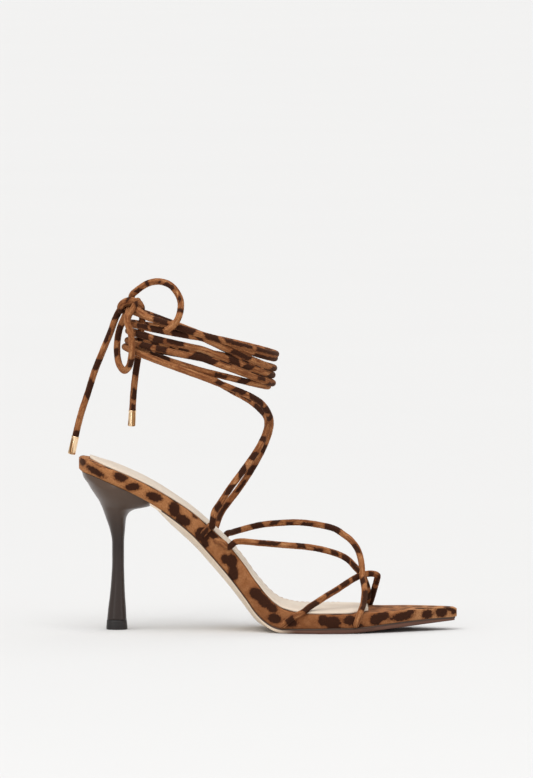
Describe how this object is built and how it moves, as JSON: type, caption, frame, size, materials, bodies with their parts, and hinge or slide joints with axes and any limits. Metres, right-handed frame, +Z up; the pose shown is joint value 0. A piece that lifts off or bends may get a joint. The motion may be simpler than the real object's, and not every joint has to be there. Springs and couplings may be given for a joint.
{
  "type": "heeled sandal",
  "caption": "High-heeled strappy sandal for the right foot, with a pointed open footbed, a slim flared heel, crossed cord straps and long ties wound round the ankle and bowed",
  "frame": {"origin": "centre of the shoe's footprint on the floor, the free tie ends left out", "axes": "+X points to the toe, +Y to the medial side, +Z up"},
  "size_m": [0.2336, 0.0772, 0.2117],
  "materials": {
    "outsole": "smooth matt",
    "board_fabric": "suede-like, leopard pattern",
    "sock": "smooth satin",
    "heel": "satin coat",
    "heel_tip": "matt",
    "strap_fabric": "suede-like, leopard pattern",
    "tip_metal": "polished pale gold"
  },
  "bodies": {
    "root": {"outsole": "outsole", "wrapped_board": "board_fabric", "insole_sock": "sock", "heel": "heel", "heel_tip": "heel_tip", "upper_straps": "strap_fabric", "ankle_ties": "strap_fabric", "knot": "strap_fabric", "bow_loop_top": "strap_fabric", "bow_loop_hanging": "strap_fabric", "tie_end_long": "strap_fabric", "tie_end_short": "strap_fabric", "tie_tip_long": "tip_metal", "tie_tip_short": "tip_metal"}
  },
  "joints": []
}
